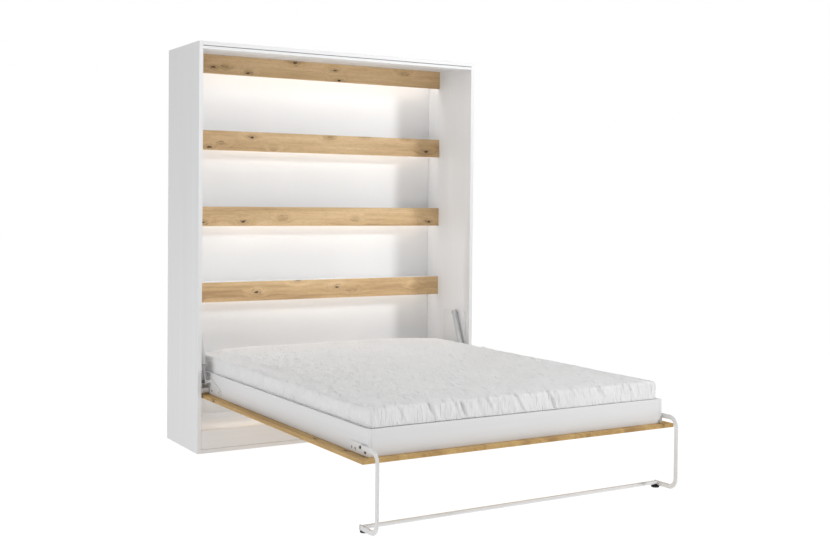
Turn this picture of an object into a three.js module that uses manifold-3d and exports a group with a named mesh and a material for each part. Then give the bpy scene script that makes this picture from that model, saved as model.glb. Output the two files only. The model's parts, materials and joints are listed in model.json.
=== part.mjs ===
// Murphy wall bed with a vertical fold, shown lowered. Millimetres, +Z up.
// The origin is the centre of the cabinet's footprint on the floor, the wall is on
// the +Y side and the bed reaches out towards -Y. Cabinet boards are named for
// someone facing the bed, so left is -X.

import * as THREE from 'three';
import { mergeVertices } from 'three/addons/utils/BufferGeometryUtils.js';
import Module from 'manifold-3d';

const wasm = await Module();
wasm.setup();

// ---------- driving dimensions ----------

const GAP = 0.3;                 // clearance between pieces that touch

// cabinet
const WIDTH = 1780;
const DEPTH = 500;
const HEIGHT = 2240;
const BOARD = 22;                // sides, top and base
const EDGE = 0.8;                // eased edge on every board
const BACK_THICKNESS = 5;
const PLINTH_TOP = 125;
const PLINTH_THICKNESS = 18;
const PLINTH_JOINT = 2.5;        // dark joint between the plinth and the base shelf
const PLINTH_FOOT_JOINT = 1.2;   // under the plinth
const PLINTH_END_JOINT = 0.8;    // at the plinth's ends
const TOP_RAIL_DEPTH = 80;
const TOP_RAIL_HEIGHT = 16;
const TOP_RAIL_GROOVE = 3.5;      // shadow groove between the top and its front rail

// headboard strips with a light shelf behind each
const STRIP_COUNT = 4;
const STRIP_HEIGHT = 113;
const STRIP_THICKNESS = 18;
const STRIP_SETBACK = 366;       // from the cabinet front to a strip's face
const STRIP_BOTTOM = 790;
const STRIP_PITCH = 440;
const TOP_STRIP_HEIGHT = 107.7;  // the highest strip closes against the top
const LIGHT_SHELF_THICKNESS = 16; // flush with its strip's top
const TOP_SHELF_RAISE = 48;      // highest light shelf above its strip's lower edge
const LED_DEPTH = 17;
const LED_HEIGHT = 7;
const LED_SETBACK = 9;           // behind the strip
const LED_END_GAP = 20;          // from the cabinet sides
const DRIVER_LEFT = 300;         // driver of the light bars, on the highest light shelf
const DRIVER_SIZE = [160, 55, 30];
const DRIVER_SETBACK = 20;
const INLET_RADIUS = 8;
const INLET_LENGTH = 12;

// steel angles from the top to the wall
const ANGLE_X = 700;
const ANGLE_WIDTH = 50;
const ANGLE_LEG = 42;
const ANGLE_THICKNESS = 3;

// bed
const PANEL_HALF_WIDTH = 854;
const PANEL_BOTTOM = 300;
const PANEL_THICKNESS = 18;
const PANEL_FOOT = -2070;
const PANEL_HEAD = -16;
const RAIL_OUTER = 809;          // half width over the side rails
const RAIL_THICKNESS = 15;
const RAIL_HEIGHT = 116;
const RAIL_FOOT = -2034;
const MATTRESS_HALF_WIDTH = 792;
const MATTRESS_BOTTOM = 348;
const MATTRESS_TOP = 522;
const MATTRESS_CORNER = 30;
const MATTRESS_EDGE = 24;
const LEDGER_WIDTH = 24;
const LEDGER_HEIGHT = 18;
const LEDGER_END_GAP = 10;
const SLAT_COUNT = 14;
const SLAT_WIDTH = 68;
const SLAT_THICKNESS = 10;
const SLAT_INNER_END = 6;
const SLAT_OUTER_GAP = 4;
const SLAT_END_GAP = 40;         // from the foot and head rails to the first and last slat
const TAPE_WIDTH = 25;
const TAPE_PROUD = 0.8;
const TAPE_SHARES = [0.12, 0.88]; // places of the tapes along a slat
const MATTRESS_END_GAP = 2;

// bed pivot: as high above the panel's face as it is behind the cabinet's front,
// so the closed panel is flush with the cabinet
const PIVOT_Z = 334;
const PIVOT_Y = -DEPTH / 2 + (PIVOT_Z - PANEL_BOTTOM);
const PIVOT_PIN_RADIUS = 8;
const BEARING = [[-229, 334], [-203, 353]]; // block that holds the pivot pin

// mechanism plates on the cabinet sides and hinge plates on the bed rails, each the
// outline around a few discs given as [Y, Z, radius]
const MECHANISM_PLATE = 3;
const MECHANISM_DISCS = [[-222, 322, 18], [26, 322, 18], [26, 686, 18], [-190, 686, 18]];
const HINGE_PLATE = 4;
const HINGE_DISCS = [
  [-378, 346, 14], [-202, 338, 18], [-206, 372, 16], [-240, 394, 20],
];

// gas struts
const STRUT_X = 842;
const STRUT_TOP = [-122, 692];
const STRUT_FOOT = [-240, 390];
const STRUT_RADIUS = 15;
const STRUT_BORE = 8;
const STRUT_BODY_LENGTH = 240;
const STRUT_CAP = 13;            // cylinder above its top pin
const STRUT_SOLID = 60;          // cylinder below its top pin that isn't bored
const STRUT_MOUTH = 2;           // cylinder's rolled lower edge
const ROD_RADIUS = 7;
const ROD_INSERTED = 110;
const EYE_RADIUS = 13;
const EYE_WIDTH = 12;
const PIN_RADIUS = 5;
const PIN_HEAD_RADIUS = 7;
const PIN_HEAD = 3;
const STUD_RADIUS = 7;
const STUD_COLLAR = 5;
const STUD_COLLAR_RADIUS = 11;
const STUD_TO_EYE = 0.2;         // the stud stops this far beside the eye

// folding leg, bent from a flat oval bar
const BAR_WIDTH = 23;
const BAR_THICKNESS = 8;
const BAR_ROUND = 2.6;           // rounding of the bar's long edges
const LEG_BEND = 45;
const LEG_PIVOT = [-1987, 354];  // the upper arm is level with the pivot
const LEG_FRONT = -2127;
const LEG_FLOOR_ARM_Z = 19;
const LEG_REAR = -1988;
const LEG_PLATE = 3;
const BRACKET_DISCS = [[-2025, 330, 9], [-1876, 330, 9], [-1888, 358, 9], [-2025, 359, 9]];
const BOLT_RADIUS = 4;
const BOLT_HEAD_RADIUS = 7;
const BOLT_HEAD = 4;
const CROSS_TUBE_Y = -2000;
const CROSS_TUBE_Z = 22.5;
const CROSS_TUBE_RADIUS = 9;
const PLUG_LENGTH = 4;
const PLUG_STEP = 0.4;           // the plug is this much smaller than the bar
const GLIDE_X = 804;
const GLIDE_RADIUS = 20;
const GLIDE_HEIGHT = 7;
const GLIDE_NECK_RADIUS = 8;

// ---------- derived dimensions ----------

const FRONT = -DEPTH / 2;
const BACK = DEPTH / 2;
const INNER = WIDTH / 2 - BOARD;
const BACK_FACE = BACK - BACK_THICKNESS;
const STRIP_FACE = FRONT + STRIP_SETBACK;
const STRIP_BACK = STRIP_FACE + STRIP_THICKNESS;
const TOP_STRIP_BOTTOM = STRIP_BOTTOM + (STRIP_COUNT - 1) * STRIP_PITCH;
const PANEL_TOP = PANEL_BOTTOM + PANEL_THICKNESS;
const RAIL_BOTTOM = PANEL_TOP + GAP;
const RAIL_TOP = RAIL_BOTTOM + RAIL_HEIGHT;
const RAIL_INNER = RAIL_OUTER - RAIL_THICKNESS;
const FRAME_FOOT = RAIL_FOOT + RAIL_THICKNESS;
const FRAME_HEAD = PANEL_HEAD - RAIL_THICKNESS;
const LEDGER_TOP = RAIL_BOTTOM + LEDGER_HEIGHT;
const BAR_INNER = RAIL_OUTER + LEG_PLATE + 2 * GAP;
const BAR_OUTER = BAR_INNER + BAR_THICKNESS;

// ---------- materials ----------

function finish(color, roughness, metalness) {
  return new THREE.MeshStandardMaterial({ color, roughness, metalness });
}

const WHITE = finish(0xeeeef0, 0.45, 0);
const OAK = finish(0xcdab7c, 0.6, 0);
const SPRUCE = finish(0xdcc59a, 0.7, 0);
const COVER = finish(0xf2f2f2, 0.95, 0);
const WHITE_STEEL = finish(0xe9e9e9, 0.4, 0.1);
const GREY_STEEL = finish(0x8f9092, 0.35, 0.7);
const DARK_STEEL = finish(0x3a3a3c, 0.45, 0.6);
const BLACK_PLASTIC = finish(0x151515, 0.6, 0);
const LIGHT = finish(0xfff8ee, 0.3, 0);

// ---------- building helpers ----------

const bed = new THREE.Group();

function add(name, geometry, material) {
  const mesh = new THREE.Mesh(geometry, material);
  mesh.name = name;
  bed.add(mesh);
  return mesh;
}

function solidOf(geometry) {
  const bare = geometry.clone();
  bare.deleteAttribute('normal');
  bare.deleteAttribute('uv');
  const merged = mergeVertices(bare, 1e-4);
  return new wasm.Manifold(new wasm.Mesh({
    numProp: 3,
    vertProperties: new Float32Array(merged.attributes.position.array),
    triVerts: new Uint32Array(merged.index.array),
  }));
}

function geometryOf(solid) {
  const mesh = solid.getMesh();
  const geometry = new THREE.BufferGeometry();
  geometry.setAttribute('position', new THREE.BufferAttribute(mesh.vertProperties, 3));
  geometry.setIndex(new THREE.BufferAttribute(mesh.triVerts, 1));
  return geometry;
}

function union(geometries) {
  return geometryOf(geometries.map(solidOf).reduce((a, b) => a.add(b)));
}

// a rectangle with its corners cut by a small amount
function easedRectangle(width, height, cut) {
  const x = width / 2;
  const y = height / 2;
  return new THREE.Shape([
    [-x + cut, -y], [x - cut, -y], [x, -y + cut], [x, y - cut],
    [x - cut, y], [-x + cut, y], [-x, y - cut], [-x, -y + cut],
  ].map(([px, py]) => new THREE.Vector2(px, py)));
}

function extruded(shape, depth, bevel, segments = 1, curveSegments = 8) {
  const geometry = new THREE.ExtrudeGeometry(shape, {
    depth: depth - 2 * bevel,
    bevelEnabled: bevel > 0,
    bevelThickness: bevel,
    bevelSize: bevel,
    bevelOffset: -bevel,
    bevelSegments: segments,
    curveSegments,
  });
  geometry.translate(0, 0, bevel);
  return geometry;
}

// an eased box between two corners
function boardGeometry([x0, y0, z0], [x1, y1, z1], ease = EDGE) {
  const geometry = extruded(easedRectangle(x1 - x0, y1 - y0, ease), z1 - z0, ease);
  geometry.translate((x0 + x1) / 2, (y0 + y1) / 2, z0);
  return geometry;
}

function board(name, low, high, material = WHITE, ease = EDGE) {
  return add(name, boardGeometry(low, high, ease), material);
}

// an outline drawn in (Y, Z) and given a thickness from x0 towards +X
function plateGeometry(shape, x0, thickness, bevel = 0, segments = 1) {
  const geometry = extruded(shape, thickness, bevel, segments);
  const yzx = new THREE.Matrix4().makeBasis(
    new THREE.Vector3(0, 1, 0),
    new THREE.Vector3(0, 0, 1),
    new THREE.Vector3(1, 0, 0),
  );
  geometry.applyMatrix4(yzx);
  geometry.translate(x0, 0, 0);
  return geometry;
}

// side is -1 for left and +1 for right; inner and outer are distances from X = 0
function span(side, inner, outer) {
  return side < 0 ? [-outer, outer - inner] : [inner, outer - inner];
}

function sidePlate(name, side, shape, inner, outer, material, bevel = 0) {
  const [x0, thickness] = span(side, inner, outer);
  return add(name, plateGeometry(shape, x0, thickness, bevel), material);
}

// a round bar along X, turned from (distance along X, radius) points
function turnedGeometry(side, y, z, steps, segments = 24) {
  const profile = [new THREE.Vector2(0, steps[0][0])];
  steps.forEach(([x, radius]) => profile.push(new THREE.Vector2(radius, x)));
  profile.push(new THREE.Vector2(0, steps[steps.length - 1][0]));
  const geometry = new THREE.LatheGeometry(profile, segments);
  geometry.rotateZ(side < 0 ? Math.PI / 2 : -Math.PI / 2);
  geometry.translate(0, y, z);
  return geometry;
}

function circleHole(shape, y, z, radius) {
  const hole = new THREE.Path();
  hole.absarc(y, z, radius, 0, Math.PI * 2, true);
  shape.holes.push(hole);
  return shape;
}

// the outline around discs of given centres and radii joined by straight tangents,
// with the discs listed anticlockwise
function beltOutline(discs, arcSteps = 6) {
  const points = [];
  discs.forEach(([y, z, r], i) => {
    const [py, pz, pr] = discs[(i + discs.length - 1) % discs.length];
    const [ny, nz, nr] = discs[(i + 1) % discs.length];
    const start = tangentAngle(py, pz, pr, y, z, r);
    let end = tangentAngle(y, z, r, ny, nz, nr);
    while (end < start) end += Math.PI * 2;
    for (let k = 0; k <= arcSteps; k++) {
      const a = start + (end - start) * k / arcSteps;
      points.push(new THREE.Vector2(y + r * Math.cos(a), z + r * Math.sin(a)));
    }
  });
  return new THREE.Shape(points);
}

function tangentAngle(y0, z0, r0, y1, z1, r1) {
  const along = Math.atan2(z1 - z0, y1 - y0);
  return along - Math.acos((r0 - r1) / Math.hypot(y1 - y0, z1 - z0));
}

// ---------- cabinet ----------

function addCabinet() {
  for (const [name, side] of [['left', -1], ['right', 1]]) {
    const [x0, thickness] = span(side, INNER, WIDTH / 2);
    board(`side_panel_${name}`, [x0, FRONT, 0], [x0 + thickness, BACK, HEIGHT]);
  }
  const half = INNER - GAP;
  board('top_panel', [-half, FRONT, HEIGHT - BOARD], [half, BACK, HEIGHT]);
  board('base_panel', [-half, FRONT, 0], [half, BACK, BOARD]);
  board('plinth_board',
    [-half + PLINTH_END_JOINT - GAP, FRONT, BOARD + PLINTH_FOOT_JOINT],
    [half - PLINTH_END_JOINT + GAP, FRONT + PLINTH_THICKNESS, PLINTH_TOP]);
  board('base_shelf',
    [-half, FRONT + PLINTH_THICKNESS + PLINTH_JOINT, PLINTH_TOP - PLINTH_THICKNESS],
    [half, BACK_FACE - GAP, PLINTH_TOP]);
  board('back_panel',
    [-half, BACK_FACE, BOARD + GAP],
    [half, BACK, HEIGHT - BOARD - GAP]);
  const railTop = HEIGHT - BOARD - TOP_RAIL_GROOVE;
  board('top_rail',
    [-half, FRONT, railTop - TOP_RAIL_HEIGHT],
    [half, FRONT + TOP_RAIL_DEPTH, railTop]);
}

function addHeadboard() {
  const half = INNER - GAP;
  for (let i = 0; i < STRIP_COUNT; i++) {
    const bottom = STRIP_BOTTOM + i * STRIP_PITCH;
    const highest = bottom === TOP_STRIP_BOTTOM;
    const height = highest ? TOP_STRIP_HEIGHT : STRIP_HEIGHT;
    board(`headboard_strip_${i + 1}`,
      [-half, STRIP_FACE, bottom], [half, STRIP_BACK, bottom + height], OAK);
    const shelf = bottom + (highest ? TOP_SHELF_RAISE : STRIP_HEIGHT - LIGHT_SHELF_THICKNESS);
    board(`light_shelf_${i + 1}`,
      [-half, STRIP_BACK + GAP, shelf],
      [half, BACK_FACE - GAP, shelf + LIGHT_SHELF_THICKNESS]);
    board(`led_bar_${i + 1}`,
      [-half + LED_END_GAP, STRIP_BACK + LED_SETBACK, shelf - GAP - LED_HEIGHT],
      [half - LED_END_GAP, STRIP_BACK + LED_SETBACK + LED_DEPTH, shelf - GAP], LIGHT);
  }
}

// driver of the light bars, on the highest light shelf, with its mains inlet
function addLedDriver() {
  const floor = TOP_STRIP_BOTTOM + TOP_SHELF_RAISE + LIGHT_SHELF_THICKNESS + GAP;
  const [length, depth, height] = DRIVER_SIZE;
  const front = STRIP_BACK + DRIVER_SETBACK;
  const end = DRIVER_LEFT + length;
  const box = boardGeometry([DRIVER_LEFT, front, floor], [end, front + depth, floor + height], 2);
  const inlet = turnedGeometry(1, front + depth / 2, floor + height / 2, [
    [end - 1, INLET_RADIUS], [end + INLET_LENGTH, INLET_RADIUS - 1],
  ], 16);
  add('led_driver', union([box, inlet]), WHITE);
}

// steel angles that tie the cabinet's top to the wall
function addWallBrackets() {
  const top = HEIGHT - BOARD - GAP;
  const rear = BACK_FACE - GAP;
  const [leg, thickness] = [ANGLE_LEG, ANGLE_THICKNESS];
  for (const [name, side] of [['left', -1], ['right', 1]]) {
    const angle = new THREE.Shape([
      [rear, top], [rear - leg, top], [rear - leg, top - thickness],
      [rear - thickness, top - thickness], [rear - thickness, top - leg], [rear, top - leg],
    ].map(([y, z]) => new THREE.Vector2(y, z)));
    const x0 = side * ANGLE_X - ANGLE_WIDTH / 2;
    add(`wall_bracket_${name}`, plateGeometry(angle, x0, ANGLE_WIDTH), WHITE_STEEL);
  }
}

// ---------- pivots and struts ----------

function addMechanism(name, side) {
  const plateInner = INNER - GAP - MECHANISM_PLATE;
  const plate = beltOutline(MECHANISM_DISCS);
  sidePlate(`mechanism_plate_${name}`, side, plate, plateInner, INNER - GAP, WHITE_STEEL, 0.5);

  const pinOuter = plateInner - GAP;
  const pinInner = RAIL_OUTER + 2 * GAP;
  const bearingStart = RAIL_OUTER + 2 * HINGE_PLATE;
  const pin = turnedGeometry(side, PIVOT_Y, PIVOT_Z, [
    [pinInner, PIVOT_PIN_RADIUS], [pinOuter, PIVOT_PIN_RADIUS],
  ]);
  const [bearingX, bearingWidth] = span(side, bearingStart, pinOuter);
  const bearing = boardGeometry(
    [bearingX, ...BEARING[0]], [bearingX + bearingWidth, ...BEARING[1]], 1.5);
  add(`bed_pivot_pin_${name}`, union([pin, bearing]), WHITE_STEEL);

  const pinShoulder = STRUT_X - STRUT_RADIUS - 1;
  add(`strut_top_pin_${name}`, turnedGeometry(side, STRUT_TOP[0], STRUT_TOP[1], [
    [pinShoulder - PIN_HEAD, PIN_HEAD_RADIUS],
    [pinShoulder, PIN_HEAD_RADIUS],
    [pinShoulder, PIN_RADIUS],
    [pinOuter, PIN_RADIUS],
  ], 20), GREY_STEEL);

  const hinge = beltOutline(HINGE_DISCS);
  circleHole(hinge, PIVOT_Y, PIVOT_Z, PIVOT_PIN_RADIUS + 0.5);
  const [hingeX] = span(side, RAIL_OUTER + GAP, RAIL_OUTER + GAP + HINGE_PLATE);
  const studBase = RAIL_OUTER + GAP + HINGE_PLATE;
  const stud = turnedGeometry(side, STRUT_FOOT[0], STRUT_FOOT[1], [
    [studBase - 1, STUD_COLLAR_RADIUS],
    [studBase + STUD_COLLAR, STUD_COLLAR_RADIUS],
    [studBase + STUD_COLLAR, STUD_RADIUS],
    [STRUT_X - ROD_RADIUS - 1 - STUD_TO_EYE, STUD_RADIUS],
  ], 20);
  add(`hinge_plate_${name}`,
    union([plateGeometry(hinge, hingeX, HINGE_PLATE, 0.5), stud]), WHITE_STEEL);
}

// strut parts are drawn along local -Y from the top pin, then leaned forward
function placeStrut(geometry, side) {
  const lean = Math.atan2(STRUT_TOP[0] - STRUT_FOOT[0], STRUT_TOP[1] - STRUT_FOOT[1]);
  geometry.rotateX(Math.PI / 2);
  geometry.rotateX(-lean);
  geometry.translate(side * STRUT_X, STRUT_TOP[0], STRUT_TOP[1]);
  return geometry;
}

function addStrut(name, side) {
  const length = Math.hypot(STRUT_TOP[0] - STRUT_FOOT[0], STRUT_TOP[1] - STRUT_FOOT[1]);
  const mouth = STRUT_CAP - STRUT_BODY_LENGTH - STRUT_MOUTH;
  const body = new THREE.LatheGeometry([
    [0, -STRUT_SOLID], [STRUT_BORE, -STRUT_SOLID], [STRUT_BORE, mouth],
    [STRUT_RADIUS - STRUT_MOUTH, mouth], [STRUT_RADIUS, mouth + STRUT_MOUTH],
    [STRUT_RADIUS, STRUT_CAP], [0, STRUT_CAP],
  ].map(([r, y]) => new THREE.Vector2(r, y)), 24);
  const holeRadius = PIN_RADIUS + 0.6;
  const pinHole = new THREE.CylinderGeometry(holeRadius, holeRadius, 4 * STRUT_RADIUS, 20);
  pinHole.rotateZ(Math.PI / 2);
  const cylinder = geometryOf(solidOf(body).subtract(solidOf(pinHole)));
  add(`strut_cylinder_${name}`, placeStrut(cylinder, side), GREY_STEEL);

  const rodEnd = length - ROD_RADIUS - 1;
  const rod = new THREE.CylinderGeometry(ROD_RADIUS, ROD_RADIUS, rodEnd - ROD_INSERTED, 20);
  rod.translate(0, -(rodEnd + ROD_INSERTED) / 2, 0);
  const eye = new THREE.CylinderGeometry(EYE_RADIUS, EYE_RADIUS, EYE_WIDTH, 24);
  eye.rotateZ(Math.PI / 2);
  eye.translate(0, -length, 0);
  add(`strut_rod_${name}`, placeStrut(union([rod, eye]), side), DARK_STEEL);
}

// ---------- bed frame ----------

function addFrame() {
  board('front_panel',
    [-PANEL_HALF_WIDTH, PANEL_FOOT, PANEL_BOTTOM],
    [PANEL_HALF_WIDTH, PANEL_HEAD, PANEL_TOP], OAK);
  for (const [name, side] of [['left', -1], ['right', 1]]) {
    const [x0, thickness] = span(side, RAIL_INNER, RAIL_OUTER);
    board(`side_rail_${name}`,
      [x0, RAIL_FOOT, RAIL_BOTTOM], [x0 + thickness, PANEL_HEAD, RAIL_TOP]);
    const [lx, width] = span(side, RAIL_INNER - GAP - LEDGER_WIDTH, RAIL_INNER - GAP);
    board(`slat_ledger_${name}`,
      [lx, FRAME_FOOT + LEDGER_END_GAP, RAIL_BOTTOM],
      [lx + width, FRAME_HEAD - LEDGER_END_GAP, LEDGER_TOP], SPRUCE);
  }
  const half = RAIL_INNER - GAP;
  board('foot_rail', [-half, RAIL_FOOT, RAIL_BOTTOM], [half, FRAME_FOOT, RAIL_TOP]);
  board('head_rail', [-half, FRAME_HEAD, RAIL_BOTTOM], [half, PANEL_HEAD, RAIL_TOP]);
  board('centre_beam',
    [-LEDGER_WIDTH, FRAME_FOOT + LEDGER_END_GAP, RAIL_BOTTOM],
    [LEDGER_WIDTH, FRAME_HEAD - LEDGER_END_GAP, LEDGER_TOP], SPRUCE);
}

// one half-width roll of slats, held at their spacing by two woven tapes
function addSlatRoll(name, side) {
  const bottom = LEDGER_TOP + GAP;
  const top = bottom + SLAT_THICKNESS;
  const [x0, length] = span(side, SLAT_INNER_END, RAIL_INNER - SLAT_OUTER_GAP);
  const first = FRAME_FOOT + SLAT_END_GAP;
  const last = FRAME_HEAD - SLAT_END_GAP - SLAT_WIDTH;
  const pieces = [];
  for (let i = 0; i < SLAT_COUNT; i++) {
    const y = first + (last - first) * i / (SLAT_COUNT - 1);
    pieces.push(boardGeometry([x0, y, bottom], [x0 + length, y + SLAT_WIDTH, top], 1));
  }
  for (const share of TAPE_SHARES) {
    const x = x0 + length * share - TAPE_WIDTH / 2;
    const low = [x, first + 4, top - 1];
    const high = [x + TAPE_WIDTH, last + SLAT_WIDTH - 4, top + TAPE_PROUD];
    pieces.push(boardGeometry(low, high, 0.2));
  }
  add(`slat_roll_${name}`, union(pieces), SPRUCE);
}

function addMattress() {
  const x = MATTRESS_HALF_WIDTH;
  const foot = FRAME_FOOT + MATTRESS_END_GAP;
  const head = FRAME_HEAD - MATTRESS_END_GAP;
  const r = MATTRESS_CORNER;
  const outline = new THREE.Shape();
  outline.absarc(x - r, head - r, r, 0, Math.PI / 2);
  outline.absarc(-x + r, head - r, r, Math.PI / 2, Math.PI);
  outline.absarc(-x + r, foot + r, r, Math.PI, Math.PI * 1.5);
  outline.absarc(x - r, foot + r, r, Math.PI * 1.5, Math.PI * 2);
  const geometry = extruded(outline, MATTRESS_TOP - MATTRESS_BOTTOM, MATTRESS_EDGE, 3, 5);
  geometry.translate(0, 0, MATTRESS_BOTTOM);
  add('mattress', geometry, COVER);
}

// ---------- folding leg ----------

// from the bracket forward, down and back along the floor
function legOutline() {
  const [pivotY, armZ] = LEG_PIVOT;
  const half = BAR_WIDTH / 2;
  const centre = LEG_FRONT + LEG_BEND;
  const topCentre = armZ - LEG_BEND;
  const bottomCentre = LEG_FLOOR_ARM_Z + LEG_BEND;
  const outer = LEG_BEND + half;
  const inner = LEG_BEND - half;
  const outline = new THREE.Shape();
  outline.absarc(centre, topCentre, outer, Math.PI / 2, Math.PI);
  outline.absarc(centre, bottomCentre, outer, Math.PI, Math.PI * 1.5);
  outline.lineTo(LEG_REAR, LEG_FLOOR_ARM_Z - half);
  outline.lineTo(LEG_REAR, LEG_FLOOR_ARM_Z + half);
  outline.absarc(centre, bottomCentre, inner, Math.PI * 1.5, Math.PI, true);
  outline.absarc(centre, topCentre, inner, Math.PI, Math.PI / 2, true);
  outline.absarc(pivotY, armZ, half, -Math.PI / 2, Math.PI / 2);
  return circleHole(outline, pivotY, armZ, BOLT_RADIUS + 0.6);
}

function addLeg(name, side) {
  const plateInner = RAIL_OUTER + GAP;
  const plateOuter = plateInner + LEG_PLATE;
  const bracket = beltOutline(BRACKET_DISCS);
  circleHole(bracket, LEG_PIVOT[0], LEG_PIVOT[1], BOLT_RADIUS + 0.4);
  sidePlate(`leg_bracket_${name}`, side, bracket, plateInner, plateOuter, WHITE_STEEL, 0.4);

  const [x0] = span(side, BAR_INNER, BAR_OUTER);
  const bar = plateGeometry(legOutline(), x0, BAR_THICKNESS, BAR_ROUND, 2);
  add(`leg_bar_${name}`, bar, WHITE_STEEL);

  const underHead = BAR_OUTER + GAP;
  add(`leg_pivot_bolt_${name}`, turnedGeometry(side, LEG_PIVOT[0], LEG_PIVOT[1], [
    [plateInner + GAP, BOLT_RADIUS],
    [underHead, BOLT_RADIUS],
    [underHead, BOLT_HEAD_RADIUS],
    [underHead + BOLT_HEAD, BOLT_HEAD_RADIUS - 1],
  ], 16), DARK_STEEL);

  const plugHalf = BAR_WIDTH / 2 - PLUG_STEP;
  board(`leg_end_plug_${name}`,
    [x0 + PLUG_STEP, LEG_REAR + GAP, LEG_FLOOR_ARM_Z - plugHalf],
    [x0 + BAR_THICKNESS - PLUG_STEP, LEG_REAR + PLUG_LENGTH, LEG_FLOOR_ARM_Z + plugHalf],
    BLACK_PLASTIC, 0.8);
  addGlide(name, side);
}

// a round glide screwed into the cross tube from below
function addGlide(name, side) {
  const [disc, height, neck] = [GLIDE_RADIUS, GLIDE_HEIGHT, GLIDE_NECK_RADIUS];
  const top = CROSS_TUBE_Z - CROSS_TUBE_RADIUS - GAP;
  const glide = new THREE.LatheGeometry([
    [0, 0], [disc - 1.5, 0], [disc, 1.5], [disc, height - 1.5], [disc - 1.5, height],
    [neck, height], [neck, top - 1], [neck - 1, top], [0, top],
  ].map(([r, y]) => new THREE.Vector2(r, y)), 28);
  glide.rotateX(Math.PI / 2);
  glide.translate(side * GLIDE_X, CROSS_TUBE_Y, 0);
  add(`glide_foot_${name}`, glide, BLACK_PLASTIC);
}

function addCrossTube() {
  const [radius, length] = [CROSS_TUBE_RADIUS, 2 * (BAR_INNER - GAP)];
  const tube = new THREE.CylinderGeometry(radius, radius, length, 24);
  tube.rotateZ(Math.PI / 2);
  tube.translate(0, CROSS_TUBE_Y, CROSS_TUBE_Z);
  add('cross_tube', tube, WHITE_STEEL);
}

// ---------- assembly ----------

addCabinet();
addHeadboard();
addLedDriver();
addWallBrackets();
addFrame();
addMattress();
addCrossTube();
for (const [name, side] of [['left', -1], ['right', 1]]) {
  addMechanism(name, side);
  addStrut(name, side);
  addSlatRoll(name, side);
  addLeg(name, side);
}

export default bed;
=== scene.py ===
import json
import math

import bmesh
import bpy
import numpy as np
from mathutils import Matrix, Vector

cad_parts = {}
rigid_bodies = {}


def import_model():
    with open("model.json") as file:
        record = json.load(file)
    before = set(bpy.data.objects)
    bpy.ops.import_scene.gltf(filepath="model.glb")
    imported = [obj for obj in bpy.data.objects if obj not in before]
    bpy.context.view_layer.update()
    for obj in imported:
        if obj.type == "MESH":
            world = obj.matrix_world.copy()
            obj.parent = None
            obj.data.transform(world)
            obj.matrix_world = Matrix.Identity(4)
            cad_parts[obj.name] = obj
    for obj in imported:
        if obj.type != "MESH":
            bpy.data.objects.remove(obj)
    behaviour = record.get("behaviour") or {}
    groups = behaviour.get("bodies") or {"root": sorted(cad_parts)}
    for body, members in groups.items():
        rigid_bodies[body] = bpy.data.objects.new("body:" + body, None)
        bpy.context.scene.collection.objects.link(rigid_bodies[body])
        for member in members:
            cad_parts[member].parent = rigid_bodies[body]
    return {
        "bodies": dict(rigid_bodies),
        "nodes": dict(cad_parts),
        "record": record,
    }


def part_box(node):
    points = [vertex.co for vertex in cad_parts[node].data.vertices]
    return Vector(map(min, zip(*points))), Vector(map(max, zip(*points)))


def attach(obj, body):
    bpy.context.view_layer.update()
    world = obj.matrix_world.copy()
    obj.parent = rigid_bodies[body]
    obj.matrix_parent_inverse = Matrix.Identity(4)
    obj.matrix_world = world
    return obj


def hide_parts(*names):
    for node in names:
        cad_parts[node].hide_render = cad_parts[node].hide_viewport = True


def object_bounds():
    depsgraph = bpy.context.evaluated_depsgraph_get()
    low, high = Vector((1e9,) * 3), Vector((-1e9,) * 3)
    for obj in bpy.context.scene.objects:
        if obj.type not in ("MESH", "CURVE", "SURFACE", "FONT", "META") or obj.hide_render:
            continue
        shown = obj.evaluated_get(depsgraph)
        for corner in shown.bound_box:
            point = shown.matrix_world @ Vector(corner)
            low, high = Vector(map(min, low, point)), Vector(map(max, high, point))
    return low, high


# Murphy wall bed, lowered. Metres, +Z up, the bed reaches towards -Y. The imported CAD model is
# the frame: its boards, tubes and plates stay and get materials here, and the mattress,
# the screws and the slotted lock of the folding leg are pieces made here.

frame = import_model()
NODES = frame["nodes"]
cad_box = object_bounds()


# ---------- camera ----------

CAMERA_PLACE = Vector((-3.0952, -6.2213, 1.3672))
CAMERA_YAW = 0.538592        # towards +X from the direction of +Y
CAMERA_PITCH = -0.017491
CAMERA_ROLL = 0.00885
CAMERA_LENS = 50.231
CAMERA_SENSOR = 36.0
CAMERA_SHIFT_Y = -0.0627


def add_camera():
    forward = Vector((
        math.sin(CAMERA_YAW) * math.cos(CAMERA_PITCH),
        math.cos(CAMERA_YAW) * math.cos(CAMERA_PITCH),
        math.sin(CAMERA_PITCH),
    ))
    level_right = Vector((math.cos(CAMERA_YAW), -math.sin(CAMERA_YAW), 0))
    level_up = level_right.cross(forward)
    right = math.cos(CAMERA_ROLL) * level_right + math.sin(CAMERA_ROLL) * level_up
    up = right.cross(forward)
    data = bpy.data.cameras.new("camera")
    data.lens = CAMERA_LENS
    data.sensor_width = CAMERA_SENSOR
    data.shift_y = CAMERA_SHIFT_Y
    data.clip_end = 100
    camera = bpy.data.objects.new("camera", data)
    turn = Matrix((right, up, -forward)).transposed()
    camera.matrix_world = Matrix.Translation(CAMERA_PLACE) @ turn.to_4x4()
    bpy.context.scene.collection.objects.link(camera)
    bpy.context.scene.camera = camera


add_camera()


# ---------- material helpers ----------

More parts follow.
